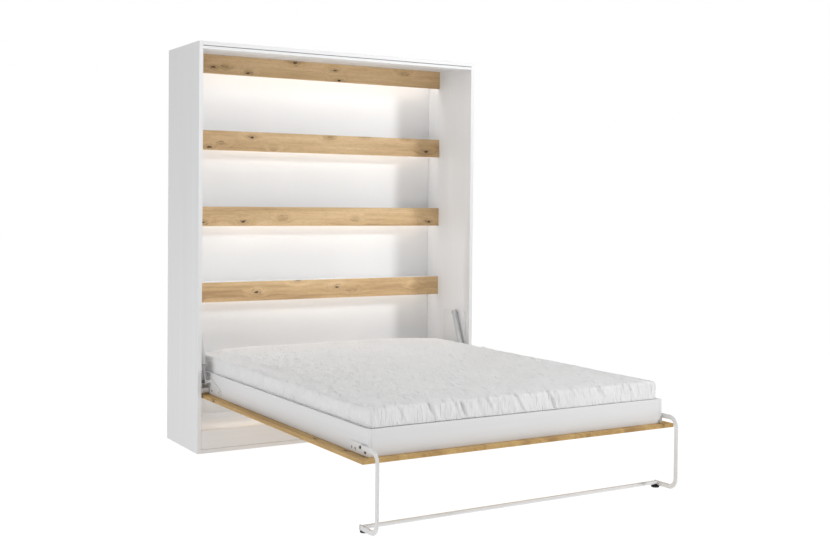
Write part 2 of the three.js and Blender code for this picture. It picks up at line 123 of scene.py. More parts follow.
class Shader:
    """A material with a Principled BSDF and short calls to add nodes to it."""

    def __init__(self, name, **settings):
        self.material = bpy.data.materials.new(name)
        self.material.use_nodes = True
        self.tree = self.material.node_tree
        self.surface = self.tree.nodes["Principled BSDF"]
        for key, value in settings.items():
            self.surface.inputs[key].default_value = value

    def node(self, kind, inputs=None, **settings):
        made = self.tree.nodes.new(kind)
        for key, value in settings.items():
            setattr(made, key, value)
        for key, value in (inputs or {}).items():
            self.feed(made.inputs[key], value)
        return made

    def feed(self, socket, value):
        if isinstance(value, bpy.types.NodeSocket):
            self.tree.links.new(value, socket)
        else:
            socket.default_value = value

    def place(self, scale=(1, 1, 1), offset=(0, 0, 0), turn=0.0):
        """Object coordinates, turned about Z first and then scaled."""
        where = self.node("ShaderNodeTexCoord").outputs["Object"]
        if turn:
            where = self.node("ShaderNodeMapping", {
                "Vector": where, "Rotation": (0, 0, turn)}).outputs["Vector"]
        return self.node("ShaderNodeMapping", {
            "Vector": where, "Location": offset, "Scale": scale}).outputs["Vector"]

    def noise(self, where, scale=1.0, detail=2.0, rough=0.5, distortion=0.0):
        return self.node("ShaderNodeTexNoise", {
            "Vector": where, "Scale": scale, "Detail": detail, "Roughness": rough,
            "Distortion": distortion}).outputs["Fac"]

    def math(self, operation, a, b=0.0, clamp=False):
        made = self.node("ShaderNodeMath", operation=operation, use_clamp=clamp)
        self.feed(made.inputs[0], a)
        self.feed(made.inputs[1], b)
        return made.outputs[0]

    def remap(self, value, low, high, to_low=0.0, to_high=1.0):
        return self.node("ShaderNodeMapRange", {
            "Value": value, "From Min": low, "From Max": high,
            "To Min": to_low, "To Max": to_high}, interpolation_type="SMOOTHSTEP").outputs["Result"]

    def ramp(self, value, stops):
        made = self.node("ShaderNodeValToRGB", {"Fac": value})
        elements = made.color_ramp.elements
        while len(elements) < len(stops):
            elements.new(0.5)
        for element, (at, colour) in zip(elements, stops):
            element.position = at
            element.color = (*colour, 1)
        return made.outputs["Color"]

    def mix(self, factor, a, b, blend="MIX"):
        made = self.node("ShaderNodeMix", data_type="RGBA", blend_type=blend)
        self.feed(made.inputs[0], factor)
        for socket, value in ((made.inputs[6], a), (made.inputs[7], b)):
            self.feed(socket, value if isinstance(value, bpy.types.NodeSocket) else (*value, 1))
        return made.outputs[2]

    def bump(self, height, strength, distance, normal=None):
        made = self.node("ShaderNodeBump", {
            "Height": height, "Strength": strength, "Distance": distance})
        if normal is not None:
            self.feed(made.inputs["Normal"], normal)
        return made.outputs["Normal"]

    def set(self, **sockets):
        for key, value in sockets.items():
            self.feed(self.surface.inputs[key.replace("_", " ")], value)
        return self.material


def edge_wear_and_highlight(shader, colour, worn_and_lit, radius=0.0012, amount=0.6):
    """Colour turned towards the edge colour along convex edges: partly wear, partly a painted
    highlight.
    """
    bevel = shader.node("ShaderNodeBevel", {"Radius": radius}, samples=4).outputs["Normal"]
    plain = shader.node("ShaderNodeNewGeometry").outputs["Normal"]
    bend = shader.node("ShaderNodeVectorMath", operation="DOT_PRODUCT")
    shader.feed(bend.inputs[0], bevel)
    shader.feed(bend.inputs[1], plain)
    edge = shader.remap(bend.outputs["Value"], 0.99, 0.80, 0.0, amount)
    return shader.mix(edge, colour, worn_and_lit)


# ---------- materials ----------

def along(axis, length_scale, cross_scale):
    """A mapping scale that stretches a pattern along one axis."""
    scale = [cross_scale] * 3
    scale["XYZ".index(axis)] = length_scale
    return tuple(scale)


def melamine(name, axis):
    """White decor foil on chipboard, with faint streaks and a fine pearl texture."""
    s = Shader(name, **{"Roughness": 0.42, "Specular IOR Level": 0.4})
    streaks = s.noise(s.place(along(axis, 0.9, 34.0)), detail=3.0, rough=0.55)
    broad = s.noise(s.place(along(axis, 0.5, 5.0)), detail=1.0)
    tone = s.math("ADD", s.math("MULTIPLY", streaks, 0.7), s.math("MULTIPLY", broad, 0.3))
    colour = s.ramp(tone, [(0.3, (0.785, 0.787, 0.796)), (0.7, (0.827, 0.828, 0.834))])
    pearl = s.noise(s.place((900, 900, 900)), detail=2.0)
    pores = s.noise(s.place(along(axis, 60.0, 1400.0)), detail=1.0)
    relief = s.math("ADD", s.math("MULTIPLY", pearl, 0.6), s.math("MULTIPLY", pores, 0.4))
    rough = s.remap(streaks, 0.3, 0.7, 0.38, 0.46)
    # The white board's convex edges are lightened towards 0.90: a painted highlight.
    return s.set(
        Base_Color=edge_wear_and_highlight(s, colour, (0.90, 0.90, 0.90)),
        Roughness=rough, Normal=s.bump(relief, 0.10, 0.0002))


def knot_field(s, plane, seed):
    """Cells of scattered knots over a board's plane, and the vector to the nearest one."""
    split = s.node("ShaderNodeSeparateXYZ", {"Vector": s.place(offset=(seed, seed, seed))})
    where = s.node("ShaderNodeCombineXYZ", {
        "X": s.math("MULTIPLY", split.outputs[plane[0]], 3.4),
        "Y": s.math("MULTIPLY", split.outputs[plane[1]], 7.4)}).outputs["Vector"]
    cells = s.node("ShaderNodeTexVoronoi", {"Vector": where, "Scale": 1.0, "Randomness": 0.95},
                   voronoi_dimensions="2D", feature="F1", distance="EUCLIDEAN")
    return cells


def oak(name, plane, seed=0.0, tint=(1, 1, 1)):
    """Knotty light oak decor: long grain bent round knots, fine pores and dark cracks."""
    s = Shader(name, **{"Specular IOR Level": 0.35})
    axis = plane[0]
    cells = knot_field(s, plane, seed)
    distance = cells.outputs["Distance"]
    pull = s.remap(distance, 0.40, 0.0, 0.0, 0.030)
    swirl = s.node("ShaderNodeCombineXYZ", {"X": pull, "Y": pull, "Z": pull}).outputs["Vector"]
    bent = s.node("ShaderNodeVectorMath", operation="ADD")
    s.feed(bent.inputs[0], s.place(offset=(seed, seed, seed)))
    s.feed(bent.inputs[1], swirl)

    def stretched(length_scale, cross_scale):
        return s.node("ShaderNodeMapping", {
            "Vector": bent.outputs["Vector"],
            "Scale": along(axis, length_scale, cross_scale)}).outputs["Vector"]

    figure = s.noise(stretched(0.8, 11.0), detail=3.0, rough=0.55, distortion=0.25)
    bands = s.noise(stretched(1.6, 60.0), detail=4.0, rough=0.6, distortion=0.3)
    fibres = s.noise(stretched(9.0, 420.0), detail=3.0, rough=0.6)
    tone = s.math("ADD", s.math("MULTIPLY", figure, 0.50), s.math("MULTIPLY", bands, 0.32))
    tone = s.math("ADD", tone, s.math("MULTIPLY", fibres, 0.18))
    colour = s.ramp(tone, [
        (0.33, (0.300, 0.178, 0.078)), (0.43, (0.425, 0.268, 0.126)),
        (0.52, (0.520, 0.345, 0.172)), (0.63, (0.610, 0.425, 0.228))])

    pores = s.noise(stretched(30.0, 900.0), detail=1.0)
    colour = s.mix(s.remap(pores, 0.60, 0.70, 0.0, 0.45), colour, (0.20, 0.115, 0.05))

    # knots: a brown halo, a near-black heart and a few cracks along the grain
    ragged = s.noise(s.place((90, 90, 170)), detail=4.0, rough=0.75)
    edge = s.math("ADD", distance, s.math("MULTIPLY", s.math("SUBTRACT", ragged, 0.5), 0.20))
    colour = s.mix(s.remap(edge, 0.18, 0.03, 0.0, 0.42), colour, (0.27, 0.155, 0.065))
    chosen = s.math("GREATER_THAN", s.node("ShaderNodeSeparateColor", {
        "Color": cells.outputs["Color"]}).outputs["Red"], 0.60)
    heart = s.math("MULTIPLY", s.remap(edge, 0.050, 0.030, 0.0, 0.96), chosen)
    colour = s.mix(heart, colour, (0.022, 0.013, 0.008))
    crack_line = s.noise(stretched(7.0, 170.0), detail=2.0, rough=0.7)
    crack = s.math("MULTIPLY", s.remap(crack_line, 0.62, 0.67), s.remap(edge, 0.24, 0.10))
    colour = s.mix(s.math("MULTIPLY", crack, 0.9), colour, (0.050, 0.030, 0.016))
    colour = s.mix(1.0, colour, tint, blend="MULTIPLY")

    relief = s.math("ADD", s.math("MULTIPLY", fibres, 0.6), s.math("MULTIPLY", pores, -0.5))
    relief = s.math("SUBTRACT", relief, s.math("ADD", heart, crack))
    # Convex edges lightened towards pale oak: partly wear, partly a painted highlight.
    return s.set(
        Base_Color=edge_wear_and_highlight(s, colour, (0.66, 0.50, 0.30), amount=0.35),
        Roughness=s.remap(bands, 0.3, 0.7, 0.50, 0.62), Normal=s.bump(relief, 0.25, 0.0004))


def spruce(name):
    """Planed softwood slats with straight grain."""
    s = Shader(name, **{"Roughness": 0.6})
    grain = s.noise(s.place(along("X", 1.2, 90.0)), detail=3.0, rough=0.6, distortion=0.3)
    fibres = s.noise(s.place(along("X", 12.0, 600.0)), detail=2.0)
    tone = s.math("ADD", s.math("MULTIPLY", grain, 0.75), s.math("MULTIPLY", fibres, 0.25))
    colour = s.ramp(tone, [(0.35, (0.50, 0.34, 0.16)), (0.62, (0.70, 0.55, 0.33))])
    return s.set(Base_Color=colour, Normal=s.bump(tone, 0.2, 0.0005))


def lacquered_board(name):
    """Thin white lacquered fibreboard for the back."""
    s = Shader(name, **{"Specular IOR Level": 0.35})
    cloud = s.noise(s.place((1.4, 1.4, 1.4)), detail=2.0)
    orange_peel = s.noise(s.place((420, 420, 420)), detail=2.0)
    colour = s.ramp(cloud, [(0.35, (0.800, 0.802, 0.806)), (0.65, (0.842, 0.843, 0.845))])
    return s.set(
        Base_Color=colour, Roughness=s.remap(cloud, 0.3, 0.7, 0.42, 0.5),
        Normal=s.bump(orange_peel, 0.08, 0.0002))


def powder_coat(name, light, worn_and_lit):
    """Satin powder coat with its fine orange peel, and a painted highlight brightening its edges.
    """
    s = Shader(name, **{"Specular IOR Level": 0.5})
    cloud = s.noise(s.place((9, 9, 9)), detail=2.0)
    peel = s.noise(s.place((520, 520, 520)), detail=1.5)
    dark = tuple(0.96 * c for c in light)
    colour = s.ramp(cloud, [(0.35, dark), (0.65, light)])
    return s.set(
        Base_Color=edge_wear_and_highlight(s, colour, worn_and_lit, radius=0.0006, amount=0.5),
        Roughness=s.remap(peel, 0.3, 0.7, 0.30, 0.42), Normal=s.bump(peel, 0.12, 0.0003))


def strut_lacquer(name):
    """Matt grey lacquer of the gas struts."""
    s = Shader(name, **{"Specular IOR Level": 0.3})
    cloud = s.noise(s.place((14, 14, 14)), detail=2.0)
    grit = s.noise(s.place((700, 700, 700)), detail=1.0)
    colour = s.ramp(cloud, [(0.3, (0.500, 0.502, 0.505)), (0.7, (0.545, 0.547, 0.550))])
    # Convex edges lightened a little: partly wear, partly a painted highlight.
    return s.set(
        Base_Color=edge_wear_and_highlight(s, colour, (0.55, 0.55, 0.56), radius=0.0008),
        Roughness=s.remap(grit, 0.3, 0.7, 0.55, 0.65), Normal=s.bump(grit, 0.1, 0.0002))


def dark_steel(name):
    """Turned steel, darkened, with bright edges: partly wear, partly a painted highlight."""
    s = Shader(name, **{"Metallic": 0.85})
    stain = s.noise(s.place((60, 60, 60)), detail=3.0)
    lines = s.noise(s.place((90, 1800, 1800)), detail=1.0)
    colour = s.ramp(stain, [(0.35, (0.085, 0.085, 0.090)), (0.65, (0.150, 0.150, 0.155))])
    return s.set(
        Base_Color=edge_wear_and_highlight(s, colour, (0.42, 0.42, 0.43), radius=0.0006, amount=0.7),
        Roughness=s.remap(lines, 0.3, 0.7, 0.28, 0.45), Normal=s.bump(lines, 0.1, 0.0001))


def moulded(name, low, high):
    """Moulded plastic with a spark-eroded texture."""
    s = Shader(name, **{"Specular IOR Level": 0.45})
    grit = s.noise(s.place((1300, 1300, 1300)), detail=2.0)
    cloud = s.noise(s.place((30, 30, 30)), detail=2.0)
    return s.set(
        Base_Color=s.ramp(cloud, [(0.35, low), (0.65, high)]),
        Roughness=s.remap(grit, 0.3, 0.7, 0.45, 0.62), Normal=s.bump(grit, 0.25, 0.0002))


def diffuser(name):
    """Opal cover of a lit light bar."""
    s = Shader(name, **{
        "Base Color": (0.93, 0.92, 0.89, 1), "Roughness": 0.35,
        "Emission Color": (1.0, 0.975, 0.935, 1), "Emission Strength": 5.0})
    ribs = s.noise(s.place((40, 900, 900)), detail=1.0)
    return s.set(Normal=s.bump(ribs, 0.2, 0.0003))


def knit(name):
    """White knitted mattress cover: wales and courses, soft crinkles and short fine folds."""
    s = Shader(name, **{
        "Roughness": 0.92, "Specular IOR Level": 0.15, "Sheen Weight": 0.25,
        "Sheen Roughness": 0.5})
    wales = s.node("ShaderNodeTexWave", {
        "Vector": s.place((1, 1, 1)), "Scale": 260.0, "Distortion": 1.0, "Detail": 1.0,
        "Detail Scale": 3.0}, bands_direction="X").outputs["Fac"]
    courses = s.node("ShaderNodeTexWave", {
        "Vector": s.place((1, 1, 1)), "Scale": 300.0, "Distortion": 1.0, "Detail": 1.0,
        "Detail Scale": 3.0}, bands_direction="DIAGONAL").outputs["Fac"]
    weave = s.math("MULTIPLY", wales, courses)
    crinkle = s.noise(s.place((85, 38, 45)), detail=4.0, rough=0.6, distortion=0.6)
    dashes = [s.remap(s.noise(s.place((75, 15, 15), turn=turn), detail=1.0), 0.57, 0.72)
              for turn in (0.50, 0.05, -0.45)]
    folds = s.math("ADD", dashes[0], s.math("MAXIMUM", dashes[1], dashes[2]))
    cloud = s.noise(s.place((3, 3, 3)), detail=2.0)
    # The colour follows the crinkle relief: partly random tone, partly painted shade darkening the
    # crinkles' hollows.
    tone = s.math("ADD", s.math("MULTIPLY", crinkle, 0.6), s.math("MULTIPLY", cloud, 0.4))
    colour = s.ramp(tone, [(0.35, (0.815, 0.815, 0.817)), (0.65, (0.872, 0.872, 0.874))])
    relief = s.math("ADD", s.math("MULTIPLY", weave, 0.25), crinkle)
    folded = s.bump(folds, 0.8, 0.0028)
    return s.set(Base_Color=colour, Normal=s.bump(relief, 0.35, 0.0012, folded))


def set_material(obj, material):
    """Leaves the object with this one material."""
    obj.data.materials.clear()
    obj.data.materials.append(material)


BOARD_AXES = {
    "side_panel": "Z", "side_rail": "Y", "back_panel": "Z",
}


def dress_cad_nodes():
    """Gives every CAD node the material of its slot; boards get one for their grain's direction."""
    white = {axis: melamine("white_board_" + axis.lower(), axis) for axis in "XYZ"}
    by_slot = {
        "white_back": lacquered_board("white_back"),
        "oak_strip": oak("oak_strip", "XZ", 3.0, (1.23, 1.27, 1.34)),
        "oak_panel": oak("oak_panel", "YX", 8.0, (1.04, 1.00, 0.75)),
        "spruce": spruce("spruce"),
        "leg_enamel": powder_coat("leg_enamel", (0.80, 0.80, 0.80), (0.88, 0.88, 0.88)),
        "plate_enamel": powder_coat("plate_enamel", (0.78, 0.78, 0.78), (0.86, 0.86, 0.86)),
        "strut_grey": strut_lacquer("strut_grey"),
        "dark_steel": dark_steel("dark_steel"),
        "black_plastic": moulded("black_plastic", (0.010, 0.010, 0.011), (0.022, 0.022, 0.023)),
        "white_plastic": moulded("white_plastic", (0.74, 0.74, 0.74), (0.80, 0.80, 0.80)),
        "led_diffuser": diffuser("led_diffuser"),
        "mattress_cover": knit("mattress_cover"),
    }
    for part in frame["record"]["subparts"]:
        name = part["node"]
        axis = "X"
        for start, board_axis in BOARD_AXES.items():
            if name.startswith(start):
                axis = board_axis
        set_material(NODES[name], by_slot.get(part["material_slot"], white[axis]))
    return by_slot


MATERIALS = dress_cad_nodes()


# ---------- mattress ----------

RAIL_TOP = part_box("foot_rail")[1].z
MATTRESS_ROUND = 0.019
GRID_STEP = 0.022
EDGE_LINES = (0.0, 0.009, 0.024)
CROWN = 0.039                 # rise of the middle over the edges
SIM_FRAMES = 20
OVERHANG = {"foot": 0.007, "side": 0.003, "head": 0.003}
PLEAT_FIRST = -0.676
PLEAT_PITCH = 0.158
PLEAT_COUNT = 9
PLEAT_LEAN = 0.55             # sideways shift per metre of drop
PLEAT_TOP = 0.528             # height where the pleats start
PLEAT_RIDGE = (0.0072, 0.009, 0.0070)     # height, place beside the fold, width
PLEAT_GROOVE = (0.0050, -0.001, 0.0038)   # depth, place beside the fold, width
CREASE_COUNT = 1300
CREASE_LENGTH = (0.018, 0.045)
CREASE_WIDTH = (0.0068, 0.0100)
CREASE_HEIGHT = (0.0020, 0.0050)


def smooth(value, low, high):
    """0 at low, 1 at high, with a smooth step between."""
    t = np.clip((value - low) / (high - low), 0, 1)
    return t * t * (3 - 2 * t)


def field(u, v, seed):
    """Smooth noise from -1 to 1 over the plane (u, v), with features about 1 apart."""
    table = np.random.default_rng(seed).uniform(-1, 1, (64, 64))
    iu, iv = np.floor(u).astype(int), np.floor(v).astype(int)
    fu, fv = smooth(u - iu, 0, 1), smooth(v - iv, 0, 1)
    corner = [[table[(iu + a) % 64, (iv + b) % 64] for b in (0, 1)] for a in (0, 1)]
    near = corner[0][0] * (1 - fv) + corner[0][1] * fv
    far = corner[1][0] * (1 - fv) + corner[1][1] * fv
    return near * (1 - fu) + far * fu


def lines_between(low, high, extra=()):
    """Grid lines from low to high, closer together next to the ends."""
    inner = high - low - 2 * EDGE_LINES[-1]
    count = round(inner / GRID_STEP)
    middle = [low + EDGE_LINES[-1] + inner * i / count for i in range(1, count)]
    middle = [m for m in middle if all(abs(m - e) > 0.009 for e in extra)]
    ends = [low + e for e in EDGE_LINES] + [high - e for e in EDGE_LINES]
    return sorted(set(ends + middle + list(extra)))


def shell(xs, ys, zs):
    """Corners and quads of the surface of a box cut along the given grid lines."""
    corners, quads, place = [], [], {}

    def at(i, j, k):
        if (i, j, k) not in place:
            place[i, j, k] = len(corners)
            corners.append((xs[i], ys[j], zs[k]))
        return place[i, j, k]

    def face(quad, outward):
        quads.append(quad if outward else quad[::-1])

    nx, ny, nz = len(xs) - 1, len(ys) - 1, len(zs) - 1
    for end, k in ((False, 0), (True, nz)):
        for i in range(nx):
            for j in range(ny):
                face((at(i, j, k), at(i + 1, j, k), at(i + 1, j + 1, k), at(i, j + 1, k)), end)
    for end, j in ((True, 0), (False, ny)):
        for i in range(nx):
            for k in range(nz):
                face((at(i, j, k), at(i + 1, j, k), at(i + 1, j, k + 1), at(i, j, k + 1)), end)
    for end, i in ((False, 0), (True, nx)):
        for j in range(ny):
            for k in range(nz):
                face((at(i, j, k), at(i, j + 1, k), at(i, j + 1, k + 1), at(i, j, k + 1)), end)
    return np.array(corners), quads


def coordinates(mesh):
    points = np.empty(len(mesh.vertices) * 3)
    mesh.vertices.foreach_get("co", points)
    return points.reshape(-1, 3)


def move_to(mesh, points):
    mesh.vertices.foreach_set("co", points.ravel())
    mesh.update()


def evaluated_points(obj):
    graph = bpy.context.evaluated_depsgraph_get()
    ready = obj.evaluated_get(graph)
    points = coordinates(ready.to_mesh())
    ready.to_mesh_clear()
    return points


def inflate(obj, rests_below):
    """Cloth simulation under inner pressure, with the underside held where it rests."""
    start = coordinates(obj.data)
    group = obj.vertex_groups.new(name="rests")
    group.add([i for i, p in enumerate(start) if p[2] < rests_below], 1.0, "REPLACE")
    cloth = obj.modifiers.new("cloth", "CLOTH")
    cloth.settings.quality = 5
    cloth.settings.mass = 0.3
    cloth.settings.tension_stiffness = 12
    cloth.settings.compression_stiffness = 12
    cloth.settings.bending_stiffness = 0.4
    cloth.settings.use_pressure = True
    cloth.settings.uniform_pressure_force = 4
    cloth.settings.vertex_group_mass = group.name
    cloth.settings.effector_weights.gravity = 0
    cloth.point_cache.frame_end = SIM_FRAMES
    for step in range(1, SIM_FRAMES + 1):
        bpy.context.scene.frame_set(step)
    swollen = evaluated_points(obj)
    obj.modifiers.remove(cloth)
    bpy.context.scene.frame_set(1)
    return swollen - start


def crown_share(points, low, high):
    """1 in the middle of the top, falling to 0 at its edges, fullest towards the head."""
    centre, half = (low + high) / 2, (high - low) / 2
    u = (points[:, 0] - centre[0]) / half[0]
    v = (points[:, 1] - centre[1]) / half[1]
    fullness = np.where(u < 0, 4 + 8 * smooth(v, 0, 1), 4)
    fall = np.where(v > 0, np.abs(v) ** 16, np.abs(v) ** 4)
    return (1 - np.abs(u) ** fullness) * (1 - fall) * (0.72 + 0.28 * smooth(v, -0.6, 0.7))


def capped(move, points, low, high):
    """The swelling, held inside the rails at the sides and to the crown at the top."""
    share = crown_share(points, low, high)
    above = smooth(points[:, 2], RAIL_TOP, RAIL_TOP + 0.02)
    sideways = 0.0006 + above * 0.0014
    out = move.copy()
    length = np.maximum(np.hypot(move[:, 0], move[:, 1]), 1e-9)
    keep = np.minimum(1, sideways / length)
    out[:, :2] *= keep[:, None]
    out[:, 2] = np.clip(out[:, 2], 0, share * CROWN)
    out[points[:, 2] < low[2] + 0.01, 2] = 0
    return out


def crease_height(x, y, rng):
    """Short low ridges, most of them along the bed or turned a little from it."""
    height = np.zeros_like(x)
    span_x, span_y = x.max() - x.min(), y.max() - y.min()
    order = np.argsort(y)
    ys = y[order]
    for _ in range(CREASE_COUNT):
        cx = x.min() + span_x * rng.random()
        cy = y.min() + span_y * rng.random()
        turn = math.radians(rng.normal(*((2, 14) if rng.random() < 0.55 else (-32, 12))))
        length, width = rng.uniform(*CREASE_LENGTH), rng.uniform(*CREASE_WIDTH)
        tall = rng.uniform(*CREASE_HEIGHT) * (1 if rng.random() < 0.6 else -1)
        first, last = np.searchsorted(ys, (cy - 3 * length, cy + 3 * length))
        near = order[first:last]
        near = near[np.abs(x[near] - cx) < 3 * length]
        dx, dy = x[near] - cx, y[near] - cy
        along_it = dx * -math.sin(turn) + dy * math.cos(turn)
        across = dx * math.cos(turn) + dy * math.sin(turn)
        height[near] += tall * np.exp(-(along_it / length) ** 2 - (across / width) ** 2)
    return height


def pleat_height(x, z, rng):
    """Folds of the cover's foot, each a sharp groove with a rounded ridge beside it."""
    height = np.zeros_like(x)
    for i in range(PLEAT_COUNT):
        top_x = PLEAT_FIRST + PLEAT_PITCH * i + rng.uniform(-0.012, 0.012)
        strength = rng.uniform(0.55, 1.0)
        away = x - (top_x + PLEAT_LEAN * (PLEAT_TOP - z))
        ridge, groove = (size * np.exp(-((away - place) / width) ** 2)
                         for size, place, width in (PLEAT_RIDGE, PLEAT_GROOVE))
        reach = smooth(z, PLEAT_TOP - 0.1 * rng.uniform(0.7, 1.2), 0.50)
        height += strength * (ridge - groove) * (0.35 + 0.65 * reach)
    return height


def cover_relief(points, normals, low, high):
    """How far every point of the cover stands out along its normal."""
    x, y, z = points.T
    rng = np.random.default_rng(11)
    up = smooth(normals[:, 2], 0.3, 0.8)
    foot = smooth(-normals[:, 1], 0.35, 0.8)
    side = smooth(np.abs(normals[:, 0]), 0.35, 0.8)
    free = smooth(z, RAIL_TOP + 0.002, RAIL_TOP + 0.010)

    calm = smooth(high[1] - y, 0.05, 0.7)      # fewer creases towards the head
    inside = smooth(high[0] - x, 0.02, 0.14)
    top = crease_height(x, y, rng) * (0.35 + 0.65 * calm) * (0.25 + 0.75 * inside)
    top += 0.0016 * field(x * 7, y * 5, 1) + 0.0010 * calm * field(x * 26 + y * 9, y * 12, 2)
    near_foot = smooth(-y, -low[1] - 0.20, -low[1])
    top += near_foot * 0.0016 * field(x * 75 + y * 30, y * 14, 3)

    pleats = pleat_height(x, z, rng)
    slanted = x - PLEAT_LEAN * 0.6 * (high[2] - z)
    patches = smooth(field(x * 9, z * 6, 4), -0.35, 0.35)
    ribs = field(slanted * 95, z * 10, 5) + 0.5 * field(slanted * 150, z * 16, 6)
    front = pleats + (0.35 + patches) * 0.0029 * ribs + 0.0026 * field(x * 14, z * 12, 7)

    flank = 0.0034 * field(y * 6 - z * 7, z * 12, 8) + 0.0020 * field(y * 26 + z * 16, z * 22, 9)
    over_edge = pleats * smooth(z, high[2] - 0.030, high[2]) * smooth(-y, -low[1] - 0.05, -low[1])
    return up * (top + over_edge * 0.7) + foot * free * front + side * free * flank


def overhang(points, normals):
    """The cover's bulge over the rails, with a wavy lower edge at the foot."""
    x, y, z = points.T
    hem = RAIL_TOP + 0.0002 + 0.0006 * (1 + field(x * 8, y * 8, 12))
    out = smooth(z, hem - 0.001, hem + 0.0018)
    foot = np.clip(-normals[:, 1], 0, 1) * OVERHANG["foot"]
    head = np.clip(normals[:, 1], 0, 1) * OVERHANG["head"]
    side = np.abs(normals[:, 0]) * OVERHANG["side"]
    move = np.zeros_like(points)
    move[:, 0] = np.sign(normals[:, 0]) * side * out
    move[:, 1] = (head - foot) * out
    return move


def normals_of(mesh):
    """Vertex normals as an array."""
    values = np.empty(len(mesh.vertices) * 3)
    mesh.vertices.foreach_get("normal", values)
    return values.reshape(-1, 3)


def simplify_underside(mesh, rests_below):
    """Joins the flat hidden underside into one face."""
    bm = bmesh.new()
    bm.from_mesh(mesh)
    flat = [f for f in bm.faces if all(v.co.z < rests_below for v in f.verts)]
    bmesh.ops.dissolve_faces(bm, faces=flat, use_verts=True)
    bm.to_mesh(mesh)
    bm.free()


def add_mattress():
    low, high = (np.array(corner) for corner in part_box("mattress"))
    hem_lines = (RAIL_TOP - 0.004, RAIL_TOP + 0.0015, RAIL_TOP + 0.0055, RAIL_TOP + 0.012)
    corners, quads = shell(
        lines_between(low[0], high[0]), lines_between(low[1], high[1]),
        lines_between(low[2], high[2], hem_lines))
    core = np.clip(corners, low + MATTRESS_ROUND, high - MATTRESS_ROUND)
    away = corners - core
    away /= np.maximum(np.linalg.norm(away, axis=1), 1e-9)[:, None]
    mesh = bpy.data.meshes.new("mattress_cushion")
    mesh.from_pydata((core + MATTRESS_ROUND * away).tolist(), [], quads)
    cushion = bpy.data.objects.new("mattress_cushion", mesh)
    bpy.context.scene.collection.objects.link(cushion)

    points = coordinates(mesh)
    swelling = capped(inflate(cushion, low[2] + 0.0005), points, low, high)
    move_to(mesh, points + swelling)

    finer = cushion.modifiers.new("finer", "SUBSURF")
    finer.levels = finer.render_levels = 2
    graph = bpy.context.evaluated_depsgraph_get()
    mesh = bpy.data.meshes.new_from_object(cushion.evaluated_get(graph))
    cushion.modifiers.remove(finer)
    cushion.data = mesh
    mesh.name = "mattress_cushion"

    points, normals = coordinates(mesh), normals_of(mesh)
    relief = cover_relief(points, normals, low, high)
    move_to(mesh, points + normals * relief[:, None] + overhang(points, normals))
    simplify_underside(mesh, low[2] + 0.001)
    mesh.polygons.foreach_set("use_smooth", [True] * len(mesh.polygons))
    set_material(cushion, MATERIALS["mattress_cover"])
    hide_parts("mattress")
    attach(cushion, "bed")


add_mattress()


# ---------- screws and fittings ----------

def solid_piece(name, corners, faces, slot_name, body):
    """A closed mesh with its normals outwards, that rides on a body."""
    mesh = bpy.data.meshes.new(name)
    mesh.from_pydata(corners, [], faces)
    bm = bmesh.new()
    bm.from_mesh(mesh)
    bmesh.ops.recalc_face_normals(bm, faces=bm.faces)
    bm.to_mesh(mesh)
    bm.free()
    piece = bpy.data.objects.new(name, mesh)
    bpy.context.scene.collection.objects.link(piece)
    set_material(piece, MATERIALS[slot_name])
    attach(piece, body)


def turned_piece(name, side, place, steps, slot_name, body, segments=32):
    """A part turned about X from (distance outwards, radius) steps; side is -1 or +1."""
    x, y, z = place
    corners, faces = [], []
    for out, radius in steps:
        for k in range(segments):
            turn = 2 * math.pi * k / segments
            corners.append((
                x + side * out, y + radius * math.cos(turn), z + radius * math.sin(turn)))
    for ring in range(len(steps) - 1):
        for k in range(segments):
            a, b = ring * segments + k, ring * segments + (k + 1) % segments
            faces.append((a, b, b + segments, a + segments))
    faces.append(tuple(range(segments)))
    faces.append(tuple(range((len(steps) - 1) * segments, len(steps) * segments)))
    solid_piece(name, corners, faces, slot_name, body)


def dome_head(radius, rise, socket):
    """Profile of a domed screw head with a round socket in it."""
    dome = [(rise * math.sin(a), radius * math.cos(a)) for a in np.linspace(0, 1.15, 7)]
    return [(0.0, radius * 0.7)] + dome + [(rise * 0.9, socket), (rise * 0.25, socket * 0.85)]


# (Y, Z) of the screws on the steel plates, and the slot they have
HINGE_SCREWS = ((-0.264, 0.343, "dark_steel"), (-0.365, 0.347, "strut_grey"))
BRACKET_SCREWS = ((-1.894, 0.339), (-1.926, 0.338))
# countersunk head, level with its plate so that the leg folds past it
FLUSH_HEAD = [(-0.0006, 0.0040), (0.0001, 0.0056), (0.00018, 0.0050), (0.00018, 0.0024),
              (-0.0004, 0.0020)]
# nut and washer on the strut's foot stud: (distance outwards, radius)
STRUT_NUT = [
    (-0.001, 0.0045), (0.0004, 0.0045), (0.0004, 0.0092), (0.0022, 0.0092),
    (0.0022, 0.0076), (0.0098, 0.0076), (0.0108, 0.0068), (0.0108, 0.0036),
    (0.0150, 0.0036), (0.0154, 0.0030)]
LOCK_BOLT = (-2.016, 0.336)
SLOT_CENTRE = (-2.0, 0.352)
SLOT_RADIUS = 0.0145


def add_slot_shade_sheet(side, face_x, name):
    """A black sheet laid in the short curved slot that the lock of the leg runs in: painted shade
    for the slot's depth.
    """
    half, depth = 0.0016, 0.0008
    corners, faces = [], []
    turns = np.linspace(math.radians(195), math.radians(250), 9)
    for turn in turns:
        for radius in (SLOT_RADIUS - half, SLOT_RADIUS + half):
            for out in (0.0, depth):
                corners.append((
                    face_x + side * out, SLOT_CENTRE[0] + radius * math.cos(turn),
                    SLOT_CENTRE[1] + radius * math.sin(turn)))
    for i in range(len(turns) - 1):
        a, b = 4 * i, 4 * i + 4
        for p, q in ((0, 1), (1, 3), (3, 2), (2, 0)):
            faces.append((a + p, a + q, b + q, b + p))
    faces += [(0, 2, 3, 1), (4 * len(turns) - 4, 4 * len(turns) - 3, 4 * len(turns) - 1,
                             4 * len(turns) - 2)]
    solid_piece(name, corners, faces, "black_plastic", "bed")


